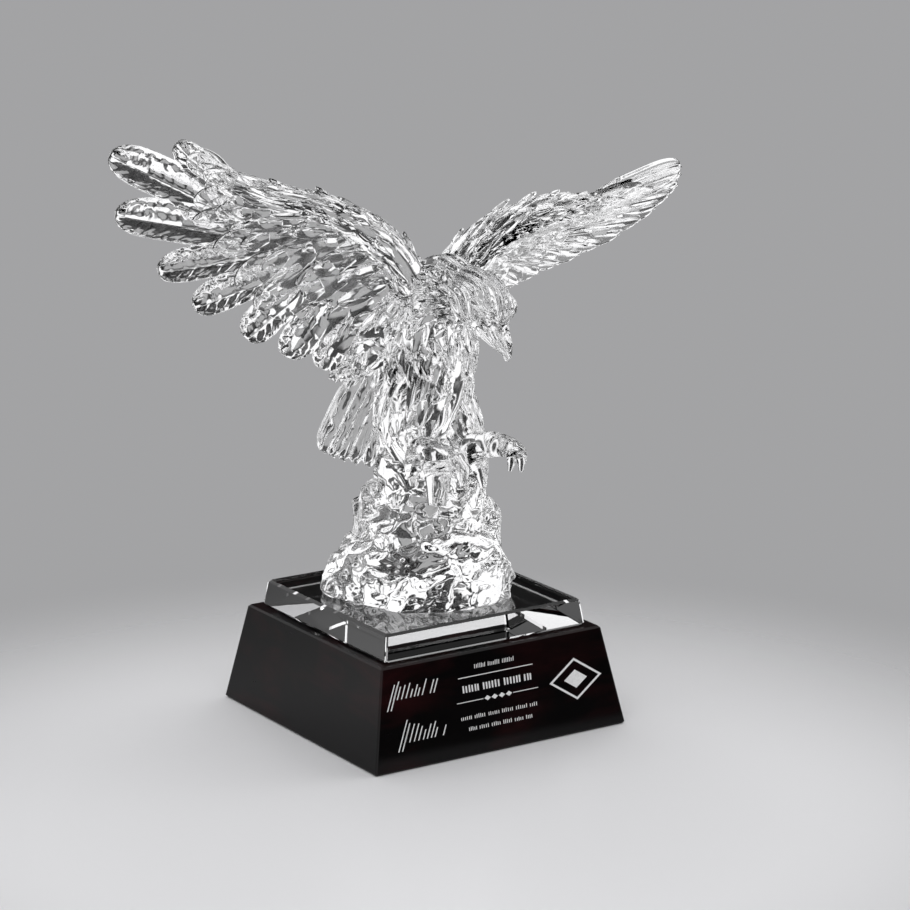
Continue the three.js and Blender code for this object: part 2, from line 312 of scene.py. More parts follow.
def apply_modifiers(thing):
    """Put the result of the modifiers into the mesh."""
    graph = bpy.context.evaluated_depsgraph_get()
    made = bpy.data.meshes.new_from_object(thing.evaluated_get(graph))
    thing.modifiers.clear()
    thing.data = made


def united(name, grids):
    """One object: the union of all grids, worked out as a solid."""
    things = []
    for i, grid in enumerate(grids):
        points, faces = shell(grid)
        things.append(new_mesh(f"{name}_{i}", to_metres(points), faces))
    return merge(name, things)


def merge(name, things):
    """The union of closed objects, left in the first of them."""
    base = things[0]
    rest = bpy.data.collections.new(name + "_parts")
    for thing in things[1:]:
        rest.objects.link(thing)
    bpy.context.scene.collection.children.link(rest)
    join = base.modifiers.new("union", "BOOLEAN")
    join.operation = "UNION"
    join.solver = "MANIFOLD"
    join.operand_type = "COLLECTION"
    join.collection = rest
    apply_modifiers(base)
    base.name = name
    for thing in things[1:]:
        bpy.data.objects.remove(thing)
    bpy.data.collections.remove(rest)
    print(name, "from", len(things), "solids:", len(base.data.polygons), "faces")
    return base


# %% [markdown]
# ## The rock
# The rock is moulded with the bird, as if broken by a hammer. It is a limb of uneven rings, wide
# at the foot and drawn in to a waist. Flat facets are struck off it, large ones first and small
# ones after, and a shallow arched recess is left low on the front-left corner.

# %% Rock
rock_table = np.array([
    [0, 0.97, 0.95], [4, 1, 0.98], [12, 0.97, 0.95], [22, 0.9, 0.89], [32, 0.83, 0.83],
    [41, 0.77, 0.78], [50, 0.7, 0.73], [59, 0.64, 0.67], [67, 0.62, 0.66],
    [73, 0.57, 0.61], [77, 0.36, 0.38],
])
rock_stations = np.column_stack([
    np.zeros((len(rock_table), 2)), rock_table[:, 0], rock_table[:, 1:] * rock_foot,
])
rock_top = rock_table[-1, 0]
hollow_angle = np.radians(-115)


def rock_lumps(angle, t):
    """Waves round and up the rock, less the recess, as shares of its radius."""
    aside = np.abs(np.sin((angle - hollow_angle) / 2)) * 2
    within = step_up(0.75 - aside - 1.4 * np.maximum(0, t - 0.12), 0, 0.2)
    waves = 0.04 * np.sin(3 * angle + 5 * t) + 0.035 * np.sin(5 * angle - 9 * t + 1)
    waves = waves + 0.025 * np.sin(8 * angle + 13 * t) * np.sin(9 * t + angle)
    return waves - 0.07 * within


def struck(grid, count, deepest, seed, low, high, reach, tilt=4):
    """Flat facets struck off a grid, at shares of its height from low to high.

    A facet's plane is square to the surface's direction at a random point, turned a little by
    the tilt, and lies some way under the point. Whatever stands over the plane within reach of
    the point is brought down to it.
    """
    draw = np.random.default_rng(seed)
    middle = grid.mean(1)
    for _ in range(count):
        i = int(draw.uniform(low, high) * (len(grid) - 1))
        j = draw.integers(grid.shape[1])
        out = unit_rows(grid[i, j] - middle[i] + draw.normal(0, tilt, 3))
        under = grid[i, j] - draw.uniform(0.3, 1) * deepest * out
        over = np.maximum(0, (grid - under) @ out)
        near = np.exp(-((np.linalg.norm(grid - under, axis=-1) / reach) ** 8))
        grid = grid - (over * near)[..., None] * out
    return grid


rock = limb(rock_stations, 96, 150, [1, 0, 0], rock_lumps)
rock = struck(rock, count=60, deepest=2.4, seed=5, low=0.05, high=0.95, reach=14)
rock = struck(rock, count=170, deepest=1.5, seed=6, low=0.02, high=0.75, reach=6)
height_up = rock[..., 2] / rock_top
rough = 0.55 * noise(rock, 5.0, 11) + 0.4 * noise(rock, 2.6, 12)
quiet = 0.35 + 0.65 * step_up(noise(rock, 17.0, 13), -0.3, 0.35)
rock = push(rock, rough * quiet * step_up(height_up, 0, 0.04))
rock[0, :, 2] = contact_gap / unit
rock[1:, :, 2] = np.maximum(rock[1:, :, 2], contact_gap / unit + 0.02)
print("rock", rock.shape)

# %% [markdown]
# ## Body and head
# On the real bird the trunk carries rows of small pointed tufts. They could be a pattern pressed
# into the skin, but only free tips catch the light as moulded ones do, so each is a blade of its
# own. Wavy strands run from the beak back over the head and the neck, and the beak is smooth.
# `front_side` points to the side that is finished finest.

# %% Body
body_rings, body_sides = 60, 72
body_stations = np.array([
    [-3, 8, 64, 10, 9], [-2, 5, 80, 19, 17], [-1, 1, 97, 23, 20.5], [0, -3, 114, 24.5, 23],
    [1, -5, 131, 23.5, 22], [2, -9, 147, 21.5, 20], [3, -17, 157, 18.5, 20],
    [5, -28, 158, 15, 16], [7, -36, 155, 12.5, 13],
])


def strands(angle, t):
    """Fourteen soft wavy strands along a limb: -cos(14 angle + 2 sway) / 2."""
    sway = 1.8 * np.sin(7 * t + 1) + 0.9 * np.sin(13 * t + 2 * angle)
    return -0.5 * np.cos(14 * angle + 2 * sway)


def body_lift(angle, t):
    """Shallow lengthwise folds, and strands on the front of the neck."""
    fold = np.sin(11 * angle + 7 * t) + 0.7 * np.sin(17 * angle - 15 * t + 2)
    neck = step_up(t, 0.72, 0.82) * step_up(np.cos(angle - 3.6), -0.2, 0.3)
    return -0.02 + 0.018 * fold * (1 - neck) + 0.09 * strands(angle, t) * neck


body = limb(body_stations, body_rings, body_sides, [1, 0, 0], body_lift)
body = push(body, 0.35 * noise(body, 4.0, 31))
print("body", body.shape)

# %% Tufts
front_side = np.array([-0.53, -0.81, 0.24])
tuft_root_depth = 2.4
rings_ahead = 6


def tufts(stations, shares, count, size, side, draw, spread=0.0, lift=-0.3, thick=2.6,
          slim=0.26, keel=0.25):
    """Rows of pointed blades that lie down along a limb, from its end towards its start.

    The tip of a blade stands `lift` out from the limb, and its half width is about `slim`
    times its length. Away from the front only one blade in three is kept.
    """
    made = []
    whole = limb(stations, body_rings, body_sides, side)
    for n, share in enumerate(shares):
        for i in range(count):
            turn = (i + 0.5 * (n % 2) + draw.uniform(-0.25, 0.25)) / count
            j = int(turn * body_sides) % body_sides
            at = np.clip(share + draw.uniform(-0.02, 0.02), 0.02, 0.98)
            k = int(at * (body_rings - 1))
            start = whole[k, j]
            middle = whole[k].mean(0)
            out = unit_rows(start - middle)
            down = unit_rows(whole[max(k - rings_ahead, 0), j] - whole[k, j])
            slip = unit_rows(np.cross(out, down)) * draw.uniform(-spread, spread)
            long = size * draw.uniform(0.8, 1.25)
            if out @ front_side < -0.25 and (i + n) % 3:
                continue
            root = start - tuft_root_depth * out
            tip = start + long * unit_rows(down + slip) + lift * out
            wide = long * slim * draw.uniform(0.85, 1.15)
            made.append(blade(root, tip, wide, thick, out, rings=9, cuts=(5, 3), bow=-1.2,
                              blunt=0.75, point=1.5, neck=0.6, shaft=0.5, keel=keel))
    return made


draw = np.random.default_rng(21)
chest = tufts(body_stations, np.linspace(0.4, 0.74, 7), 13, 13, [1, 0, 0], draw, 0.8,
              lift=0.8, thick=3.4, slim=0.3, keel=0.35)
belly = tufts(body_stations, [0.18, 0.28, 0.36], 10, 22, [1, 0, 0], draw, 0.15, thick=3.4,
              slim=0.22, keel=0.45)
print("body tufts", len(chest) + len(belly))

# %% [markdown]
# The head is looked at first, so it has its own frame: right, forward and up from its middle,
# with a turn and a dip. The cheeks are sunk round a small raised eye, and a brow stands over it.

# %% Head
head_at = np.array([9, -44.5, 152])
turn, dip = np.radians(20), np.radians(26)
about_z = np.array([[np.cos(turn), -np.sin(turn), 0], [np.sin(turn), np.cos(turn), 0],
                    [0, 0, 1]])
about_x = np.array([[1, 0, 0], [0, np.cos(dip), -np.sin(dip)], [0, np.sin(dip), np.cos(dip)]])


def in_head(rows):
    """Rows (right, forward, up, ...) in the head's frame, turned into the figure's frame."""
    rows = np.atleast_2d(np.asarray(rows, float))
    local = rows[:, :3] * np.array([1, -1, 1])
    place = head_at + local @ (about_z @ about_x).T
    return np.column_stack([place, rows[:, 3:]])


head_stations = in_head([
    [0, -22, 2, 9, 9], [0, -14, 3, 12.5, 12.5], [0, -5, 2.5, 13.5, 14], [0, 2, 0, 12, 13.5],
    [0, 7.2, -4.6, 7.8, 9.8], [0, 12.4, -7.6, 5.2, 6.8], [0, 17, -9.8, 3.8, 5],
    [0, 20.2, -12.3, 2.4, 3], [0, 22, -15.5, 0.9, 1.1],
])


def head_lift(angle, t):
    """Strands along the front of the head as far as the beak, where they run out."""
    plumed = (1 - step_up(t, 0.46, 0.58)) * step_up(np.cos(angle - 2.6), -0.2, 0.3)
    return 0.1 * strands(angle, t) * plumed


head = limb(head_stations, 64, 112, [0.94, 0.34, 0], head_lift)
eye_places = in_head([[-10.5, 4.5, 0.8], [10.5, 4.5, 0.8]])
pit = sum(bump_at(np.linalg.norm(head - place, axis=-1), 0, 3.0) for place in eye_places)
head = push(head, -1.6 * pit)
eyes = [limb(in_head([[hand * x, 4.5, 0.8, 1.7, 1.7] for x in (7, 9.2)]), 10, 16, [0, 0, 1])
        for hand in (-1, 1)]
brows = []
for hand in (-1, 1):
    brow = in_head([[hand * 10, -8, 6.5, 1.2, 1.5], [hand * 11, 0, 6.5, 2.8, 3],
                    [hand * 10, 7, 5, 2.8, 3], [hand * 6, 10.5, 2.5, 1.4, 1.6]])
    brows.append(limb(brow, 20, 16, [0, 0, 1]))
neck = tufts(body_stations, [0.76, 0.82], 14, 15, [1, 0, 0], draw, 0.15, thick=2.6,
             slim=0.18)
print("head", head.shape, "neck tufts", len(neck))

# %% [markdown]
# ## Legs, toes and claws
# Loose thigh feathers hang over the shanks, as tufts on a limb. The toes are smooth with low
# rings across them, and run out in hooked claws, so each is one limb whose ovals get small.

# %% Legs
near_leg = [[-11, 0, 104, 13, 14], [-15, -4, 92, 12, 13], [-17, -14, 81, 8, 9],
            [-17, -24, 76, 7, 7]]
far_leg = [[13, -2, 102, 12, 13], [16, -8, 91, 10.5, 11], [15, -18, 82, 7.5, 8],
           [15, -26, 78, 7, 7]]
near_toes = [
    [[-17, -24, 80, 8, 7.5], [-17, -35, 80, 8, 8], [-19, -44, 74, 7.5, 5],
     [-22, -48, 58, 5, 2.5]],
    [[-17, -24, 78, 6, 6], [-24, -31, 79, 5, 5], [-29, -37, 74, 4, 4],
     [-30, -39, 67, 1.5, 1.5]],
    [[-14, -26, 78, 6, 6], [-8, -36, 79, 5.5, 5.5], [-5, -43, 73, 4.5, 4],
     [-5, -45, 65, 1.5, 1.5]],
]
far_toes = [
    [[15, -24, 78, 8, 7], [18, -41, 82, 7, 6], [22, -55, 80.5, 4, 3.5], [20, -60, 72, 1, 1]],
    [[16, -28, 79, 6, 6], [19, -42, 82, 5, 4.5], [20, -51, 79, 3.2, 3], [18, -53, 71, 1, 1]],
    [[14, -26, 77, 6, 6], [9, -36, 77, 5.5, 5], [8, -42, 70, 4, 3.5], [9, -43, 62, 1.5, 1.5]],
]


def toe_lift(angle, t):
    """Low rings across a toe that fade before the claw."""
    return 0.05 * np.abs(np.sin(16 * t)) * (1 - step_up(t, 0.5, 0.66))


def leg_lift(angle, t):
    """Shallow lengthwise folds."""
    return 0.02 * np.sin(9 * angle + 5 * t)


legs = [limb(leg, 24, 32, [1, 0, 0], leg_lift) for leg in (near_leg, far_leg)]
toes = [limb(toe, 32, 20, [1, 0, 0], toe_lift) for toe in near_toes + far_toes]
print("legs", len(legs), "toes", len(toes))

# %% Shoulders and thighs
shoulders, thighs = [], []
for hand, inward in ((-1, 0), (1, 3)):
    shoulder = np.array([[hand * 31, 15, 118, 5, 5], [hand * 26, 9, 125, 9, 8],
                         [hand * 18, -1, 139, 13, 11], [hand * 9, -8, 152, 12, 11]], float)
    shoulder -= [hand * inward, -inward, 0, inward / 2, inward / 2]
    shoulders.append(limb(shoulder, 20, 24, [1, 0, 0]))
    shoulders += tufts(shoulder, [0.1, 0.3, 0.5, 0.7, 0.9], 10, 15, [1, 0, 0], draw, 0.7,
                       lift=0.6, thick=3.2, slim=0.3, keel=0.35)
for leg in (near_leg, far_leg):
    up = np.array(leg[::-1], float)
    thighs += tufts(up, [0.5, 0.72, 0.93], 9, 16, [1, 0, 0], draw, 0.2, thick=3.4, slim=0.24,
                    keel=0.45)
print("shoulder forms", len(shoulders), "thigh tufts", len(thighs))

# %% [markdown]
# ## Tail
# The tail is a fan of six thick ridged feathers with squared ends and long raised cells. They lie
# edge to edge, so one loop carries root and tip across the fan, and the tips sink on the way.

# %% Tail
tail = []
tail_count = 6
for i in range(tail_count):
    share = i / (tail_count - 1)
    sag = 22 * share - 8 * share * share
    root = [-23 + 31 * share, 19, 116 - 5 * share]
    tip = [-22.5 + 36.5 * share, 61 + 5 * np.sin(np.pi * share), 64 - sag]
    tail.append(blade(root, tip, 5.6, 12, [-0.2, -0.72, -0.66], 50 + i, rings=36,
                      cuts=(19, 7), bow=3, blunt=0.2, neck=0.8, point=2.2, shaft=0.1,
                      keel=0.42, fade=0.1, cell=0.8, cell_size=(14.0, 4.0)))
print("tail feathers", len(tail))

# %% [markdown]
# ## Wings
# The real wings are the showpiece: long feathers in a fan, with rows of shorter ones, the
# coverts, over their roots. One flat carved slab would show no tips, so every feather is a blade.
# A wing is its leading edge, the line where the long feathers leave the coverts, and the tips of
# the long feathers, each from the body outwards. `relief` is the share of the raised cells: the
# far wing has smooth feathers, with a narrower one between every two.

# %% Wing tables
near_wing = {
    "lead": [[-6, -5, 154], [-18, -7, 174], [-34, -8, 188.5], [-50, -8, 198],
             [-66, -7, 205], [-82, -4, 210.5], [-95, -1, 215], [-105, 3, 219]],
    "rear": [[-20, 12, 116], [-42, 18, 126], [-58, 20, 141], [-72, 20, 154], [-85, 18, 167],
             [-97, 14, 184], [-106, 9, 203], [-108, 5, 216]],
    "face": [-0.22, -0.91, -0.31],
    "tip_face": [-0.22, -0.91, -0.31],
    "tips": [[-44, 22, 116, 10], [-63, 26, 124, 10.5], [-87, 26, 136.5, 11],
             [-116, 26, 156, 10.5], [-136, 24, 176.5, 10], [-159, 22, 207, 11],
             [-162, 20, 236, 10.5], [-130, 14, 239, 7]],
    "relief": 1.0,
}
far_wing = {
    "lead": [[8, -5, 153], [22, -6, 169.5], [36, -7, 180], [50, -7, 185.5], [66, -6, 189],
             [80, -4, 190], [94, 0, 189.5], [108, 6, 189.5]],
    "rear": [[22, 28, 120], [42, 36, 130], [60, 42, 140], [76, 45, 149], [92, 44, 158],
             [106, 38, 168], [116, 28, 179], [118, 14, 188]],
    "face": [0.35, -0.62, -0.7],
    "tip_face": [0.2, -0.95, -0.2],
    "tips": [[56, 44, 128, 9], [82, 54, 136, 10.5], [110, 58, 144, 10.5],
             [137, 58, 151.5, 10.5], [160, 53, 161, 10.5], [176, 43, 175, 10.5],
             [184, 34, 188, 9.5], [175, 19, 200.5, 8.5]],
    "relief": 0.0,
}
print("long feathers in each table", len(near_wing["tips"]), len(far_wing["tips"]))

# %% Places on a wing


def web_point(wing, s, t, hollow):
    """A point of the web: s from body to hand, t from the leading edge to the rear line."""
    s, t = np.broadcast_arrays(np.asarray(s, float), np.asarray(t, float))
    lead, rear = rows_along(wing["lead"], s), rows_along(wing["rear"], s)
    sink = hollow * np.sin(np.pi * t) * np.sin(np.pi * np.minimum(1, s + 0.25))
    return lead + (rear - lead) * t[..., None] - sink[..., None] * unit_rows(wing["face"])


def covert_point(wing, s, t, hollow):
    """A point of the coverts: t chords from the leading edge, along the feathers there.

    Near the body they follow the web. Towards the hand they turn, by the share s^0.7, to the
    direction of the long feathers, and a chord is at least 26 long.
    """
    s = float(np.clip(s, 0, 1))
    lead, rear = web_point(wing, s, 0.0, 0), web_point(wing, s, 1.0, 0)
    tips = np.array(wing["tips"])[:, :3]
    flight = unit_rows(rows_along(tips, np.array(s)) - rear)
    chord = np.linalg.norm(rear - lead)
    straight = (rear - lead) / max(chord, 1e-6)
    turn = s**0.7
    flow = unit_rows(straight * (1 - turn) + flight * turn)
    sink = hollow * np.sin(np.pi * np.clip(t, 0, 1)) * np.sin(np.pi * min(1, s + 0.25))
    return lead + flow * t * max(chord, 26) - sink * unit_rows(wing["face"])


# %% Web and leading edge


def web(wing):
    """The wing's membrane, with small lumps on its front.

    Half its thickness is (5.5 - 3 t)(1 - 0.35 s) min(1, 4 t + 0.5).
    """
    face = unit_rows(wing["face"])
    s = np.linspace(0, 1, 64)[:, None]
    down = np.linspace(0, 1, 24)[None, :]
    front = web_point(wing, s, down, 5)
    thick = (5.5 - 3 * down) * (1 - 0.35 * s) * np.minimum(1, 4 * down + 0.5)
    lift = thick + 1.1 * noise(front, 4.5, 60)
    top = front + lift[..., None] * face
    under = front - (thick - 0.4)[..., None] * face
    return np.concatenate([top[:, :-1], under[:, :0:-1]], axis=1)


def leading_edge(wing, draw):
    """A rounded edge that gets thinner towards the hand, with lying and with raised tufts."""
    face = np.array(wing["face"])
    lead = np.array(wing["lead"], float)
    count = np.arange(len(lead))
    roll = np.column_stack([lead, 11 - 0.95 * count, 10 - 0.85 * count])
    forms = [limb(roll, 40, 20, face, lambda angle, t: -0.06)]
    forms += tufts(roll[::-1], np.linspace(0.16, 0.97, 11), 9, 18, face, draw, 0.2, lift=0.3,
                   thick=2.6, slim=0.17, keel=0.35)
    forms += tufts(roll[::-1], np.linspace(0.22, 0.95, 9), 3, 14, face, draw, 0.2, lift=3.4,
                   slim=0.15)
    return forms


# %% Long feathers


def long_feathers(wing):
    """The fan of long feathers, from roots under the coverts to the tips of the table."""
    face = np.array(wing["face"])
    tips = np.array(wing["tips"])
    last = len(tips) - 1
    forms = []
    step = 1 if wing["relief"] else 0.5
    for i in np.arange(0, last + 0.1, step):
        x, y, z, wide = rows_along(tips, np.array(i / last))
        wide = wide if i % 1 == 0 else 0.8 * wide
        root = web_point(wing, 0.16 + 0.72 * i / last, 0.62, 2)
        turned = face + (i / last) ** 2 * (np.array(wing["tip_face"]) - face)
        root = root + (0.9 if i % 2 else -0.9) * turned
        forms.append(blade(root, [x, y, z], wide, 6, turned, 70 + int(i), rings=60, cuts=(21, 5),
                           bow=3, point=2.4, sweep=0.22, shaft=0.3, keel=0.34, fade=0.25,
                           cell=0.85 * wing["relief"], cell_size=(6.5, 3.4)))
    return forms


# %% Coverts
covert_rows = [
    dict(count=10, start=0.6, end=1.12, wide=8.4, lift=2, drift=0.02, blunt=0.4),
    dict(count=11, start=0.4, end=0.84, wide=7.6, lift=3, drift=0.03, blunt=0.45),
    dict(count=12, start=0.22, end=0.62, wide=6.6, lift=4, drift=0.04, blunt=0.5),
    dict(count=14, start=0.08, end=0.44, wide=5, lift=5, drift=0.05, blunt=0.6),
    dict(count=14, start=-0.04, end=0.28, wide=4.4, lift=6, drift=0.06, blunt=0.7),
]


def coverts(wing, draw):
    """Five rows of coverts on the front of a wing, and the lowest two rows on its back.

    A row runs from `start` to `end` chords behind the leading edge and lies `lift` over the web.
    """
    face = np.array(wing["face"])
    inner = unit_rows(face)
    forms = []
    for back in (False, True):
        for row in covert_rows[:2] if back else covert_rows:
            sign = -1 if back else 1
            count = row["count"] - (3 if back else 0)
            for i in range(count):
                s = 0.04 + 0.84 * i / (count - 1) + draw.uniform(-0.02, 0.02)
                raise_by = sign * (row["lift"] - (0.8 if back else 0)) * inner
                slide = row["drift"] + draw.uniform(-0.03, 0.03)
                root = covert_point(wing, s, row["start"], 5) + raise_by
                end = row["end"] + 0.4 * s**3 + draw.uniform(-0.12, 0.1)
                tip = covert_point(wing, s + slide, end, 4) + raise_by
                tip = tip + draw.uniform(-0.5, 1) * sign * inner
                wide = row["wide"] * (1 - 0.4 * s**3) * draw.uniform(0.8, 1.25)
                thick = 1.3 if back else 2.2
                forms.append(blade(root, tip, wide, thick, sign * face, 90 + i, rings=12,
                                   cuts=(9, 3), blunt=row["blunt"], point=1.8,
                                   ribs=3, rib=0 if back else 0.08 * wing["relief"],
                                   shaft=0.3, keel=0.22, bow=-0.8))
    return forms


# %% Both wings


def wing_forms(wing, draw):
    """All closed forms of a wing."""
    return [web(wing)] + leading_edge(wing, draw) + long_feathers(wing) + coverts(wing, draw)


near_forms = wing_forms(near_wing, np.random.default_rng(3))
far_forms = wing_forms(far_wing, np.random.default_rng(4))
print("wing forms", len(near_forms), len(far_forms))

# %% [markdown]
# ## One casting
# Light bends at every surface it meets, so a clear piece must have no surface inside it. That is
# why all forms are united into one skin before the crystal is put on.

# %% Unite the figure
bird = [body, head] + eyes + brows + chest + belly + neck + shoulders
bird += legs + toes + thighs + tail
near = united("near_wing", near_forms)
far = united("far_wing", far_forms)
trunk = united("bird", bird)
foot = new_mesh("rock_alone", to_metres(shell(rock)[0]), shell(rock)[1])
figure = merge("crystal_figure", [foot, trunk, near, far])

# %% [markdown]
# Some hollows are sealed between the forms, and only the outer shell is kept. The skin is then
# thinned, its few faulty spots are cut out and closed again, and edges sharper than 50 degrees
# stay sharp.

# %% Keep the outer shell


def outer_shell(thing):
    """Keep the part of a mesh that spans the most, without what is sealed inside it."""
    work = bmesh.new()
    work.from_mesh(thing.data)
    bmesh.ops.triangulate(work, faces=work.faces[:])
    work.verts.index_update()
    left = set(work.verts)
    islands = []
    while left:
        seed = left.pop()
        island, edge = [seed], [seed]
        while edge:
            spread = [e.other_vert(v) for v in edge for e in v.link_edges]
            edge = [v for v in set(spread) if v in left]
            left.difference_update(edge)
            island += edge
        islands.append(island)
    islands.sort(key=len)
    for island in islands[:-1]:
        bmesh.ops.delete(work, geom=island, context="VERTS")
    work.to_mesh(thing.data)
    open_edges = sum(not e.is_manifold for e in work.edges)
    work.free()
    return len(islands), open_edges


shells, open_edges = outer_shell(figure)
print("shells", shells, "open edges", open_edges)

# %% Thin the skin
most_triangles = 196000
print("before thinning", len(figure.data.polygons), "triangles")
thin = figure.modifiers.new("thin", "DECIMATE")
thin.ratio = min(1, most_triangles / len(figure.data.polygons))
apply_modifiers(figure)
outer_shell(figure)

# %% Mend and smooth the skin


def mend(thing, rounds=12):
    """Cut out the few faces round any open or branching edge and close the holes again."""
    work = bmesh.new()
    work.from_mesh(thing.data)
    for _ in range(rounds):
        faulty = {v for e in work.edges if not e.is_manifold for v in e.verts}
        if not faulty:
            break
        bmesh.ops.delete(work, geom=list(faulty), context="VERTS")
        rim = [e for e in work.edges if e.is_boundary]
        bmesh.ops.holes_fill(work, edges=rim, sides=0)
        bmesh.ops.triangulate(work, faces=[f for f in work.faces if len(f.verts) > 3])
    bmesh.ops.recalc_face_normals(work, faces=work.faces[:])
    work.to_mesh(thing.data)
    left = sum(not e.is_manifold for e in work.edges)
    work.free()
    return left


open_edges = mend(figure)
figure.data.shade_smooth()
figure.data.set_sharp_from_angle(angle=np.radians(50))
weigh = figure.modifiers.new("weigh", "WEIGHTED_NORMAL")
weigh.keep_sharp = True
apply_modifiers(figure)
print("figure", len(figure.data.polygons), "triangles;", open_edges, "open edges")

# %% [markdown]
# ## The plate and the block
# The real plate is cut and polished, with narrow flats along its edges. Only the flats catch the
# light, so they are real faces and not a shader's trick. The plate lies a hair over the block.

# %% Plate


def square_loop(side, corner, z, cuts):
    """A square of this side with its corners rounded by short chords, at the height z."""
    half = side / 2
    turn = np.linspace(0, np.pi / 2, cuts)
    arc = np.stack([np.cos(turn), np.sin(turn)], -1) * corner + (half - corner)
    loop = [arc]
    for _ in range(3):
        x, y = loop[-1][:, 0], loop[-1][:, 1]
        loop.append(np.stack([-y, x], -1))
    flat = np.concatenate(loop)
    return np.column_stack([flat, np.full(len(flat), z)])


edge_flat = 0.0012
bottom_side = 2 * plate_high[0]
top_side = bottom_side - 2 * plate_flare
low = plate_low[2] + contact_gap
high = plate_high[2]
slope = (top_side - bottom_side) / (high - low)
plate_grid = np.stack([
    square_loop(bottom_side - 2 * edge_flat, edge_flat, low, 3),
    square_loop(bottom_side + slope * edge_flat, edge_flat, low + edge_flat, 3),
    square_loop(top_side - slope * edge_flat, edge_flat, high - edge_flat, 3),
    square_loop(top_side - 2 * edge_flat, edge_flat, high, 3),
])
plate = new_mesh("clear_plate", *shell(plate_grid))
print("plate", np.round([bottom_side, top_side], 4))

# %% [markdown]
# The block is a tapered square of wood. Lacquer rounds its edges, so they are broken a little.

# %% Block
broken = 0.0009
block_tall = block_high[2] - block_low[2]


def block_loop(z, inset):
    """The block's outline at the height z, brought in by the inset."""
    side = block_side - 2 * block_taper * (z - block_low[2]) / block_tall
    return square_loop(side - 2 * inset, broken, z, 3)


block = new_mesh("lacquered_block", *shell(np.stack([
    block_loop(block_low[2], broken),
    block_loop(block_low[2] + broken, 0),
    block_loop(block_high[2] - broken, 0),
    block_loop(block_high[2], broken),
])))
print("block", np.round(block_tall, 4))

# %% [markdown]
# ## The rows on the front face
# Rows of short plain strokes stand where the inscription is, a plain rule and a lozenge chain
# between them, and a plain lozenge at the right. None of them is a letter. Each is a thin prism
# on the sloping face, because a painted pattern would need a picture.

# %% Rows of strokes
face_lean = block_taper / (block_high[2] - block_low[2])
proud, sunk = 0.00012, 0.0004


def on_face(x, z, out):
    """A point of the sloping front face at (x, z), `out` metres in front of it."""
    y = -block_side / 2 + face_lean * (z - block_low[2])
    normal = np.array([0, -1, face_lean]) / np.hypot(1, face_lean)
    return np.stack([x, y, z], -1) + out * normal


def tile(corners):
    """A thin closed prism on the front face over a four-cornered outline (x, z)."""
    x, z = np.array(corners, float).T
    front, back = on_face(x, z, proud), on_face(x, z, -sunk)
    points = np.concatenate([front, back])
    faces = np.array([[0, 1, 2, 3], [7, 6, 5, 4], [0, 4, 5, 1], [1, 5, 6, 2], [2, 6, 7, 3],
                      [3, 7, 4, 0]])
    return points, faces


def stroke_row(left, right, z, tall, step, thick, lean, draw, uneven, space):
    """Slanted strokes of uneven height along a row in millimetres, one in `space` left out."""
    tiles, x, n = [], left, 0
    while x < right:
        if n % space != space - 1:
            h = tall * draw.uniform(1 - uneven, 1)
            base = z - tall / 2
            tiles.append([[x, base], [x + thick, base], [x + thick + lean * h, base + h],
                          [x + lean * h, base + h]])
        x += step * draw.uniform(0.85, 1.15)
        n += 1
    return tiles


def bar(x0, x1, z, thick):
    """A level bar."""
    return [[x0, z - thick / 2], [x1, z - thick / 2], [x1, z + thick / 2], [x0, z + thick / 2]]


def lozenge(x, z, wide, tall):
    """A lozenge with its points left, right, up and down."""
    return [[x - wide, z], [x, z - tall], [x + wide, z], [x, z + tall]]


draw = np.random.default_rng(9)
mm = 0.001
outlines = []
outlines += stroke_row(-61, -36, 38.5, 7.5, 2.3, 0.6, 0.45, draw, 0.5, 9)
outlines += stroke_row(-57, -33, 17.5, 8.5, 2.4, 0.6, 0.45, draw, 0.5, 9)
outlines += stroke_row(-65, -61.5, 37, 14, 2, 0.6, 0.45, draw, 0.2, 9)
outlines += stroke_row(-61, -57.5, 17, 15, 2, 0.6, 0.45, draw, 0.2, 9)
outlines += stroke_row(-12.5, 12, 43.6, 2.3, 1.05, 0.38, 0.1, draw, 0.3, 8)
outlines += [bar(-22.5, 22, 38.9, 0.4)]
outlines += stroke_row(-20.5, 20, 33.2, 3.6, 1.75, 0.85, 0, draw, 0.12, 7)
outlines += [bar(-24.5, -9, 26.9, 0.35), bar(9, 24, 26.9, 0.35)]
outlines += [lozenge(x, 26.9, 1.9, 1.25) for x in (-6.4, -2.15, 2.15, 6.4)]
outlines += stroke_row(-23, 22.6, 19.2, 2, 1.15, 0.42, 0, draw, 0.3, 7)
outlines += stroke_row(-19, 18.5, 13.6, 2, 1.15, 0.42, 0, draw, 0.3, 6)
mark_x, mark_z = 47, 27.3
ring = np.array(lozenge(0, 0, 16, 10.5))
for i in range(4):
    a, b = ring[i], ring[(i + 1) % 4]
    outlines.append(np.array([a, b, b * 0.88, a * 0.88]) + [mark_x, mark_z])
outlines.append(np.array(lozenge(0, 0, 7, 4.6)) + [mark_x, mark_z])
all_points, all_faces = [], []
for outline in outlines:
    points, faces = tile(np.array(outline) * mm)
    all_faces.append(faces + 8 * len(all_points))
    all_points.append(points)
rows = new_mesh("front_rows", np.concatenate(all_points), np.concatenate(all_faces))
tidy = bmesh.new()
tidy.from_mesh(rows.data)
bmesh.ops.recalc_face_normals(tidy, faces=tidy.faces)
tidy.to_mesh(rows.data)
tidy.free()
print("strokes", len(outlines))

# %% [markdown]
# ## Crystal
# Clear glass shows its surroundings bent and turned over. The shader needs only full
# transmission and the index of glass, 1.5, set as plain values. Moulded glass has a faint skin of
# ripples and small dimples, which two weak bumps give. The cut plate is flatter and has one.

# %% Material helpers


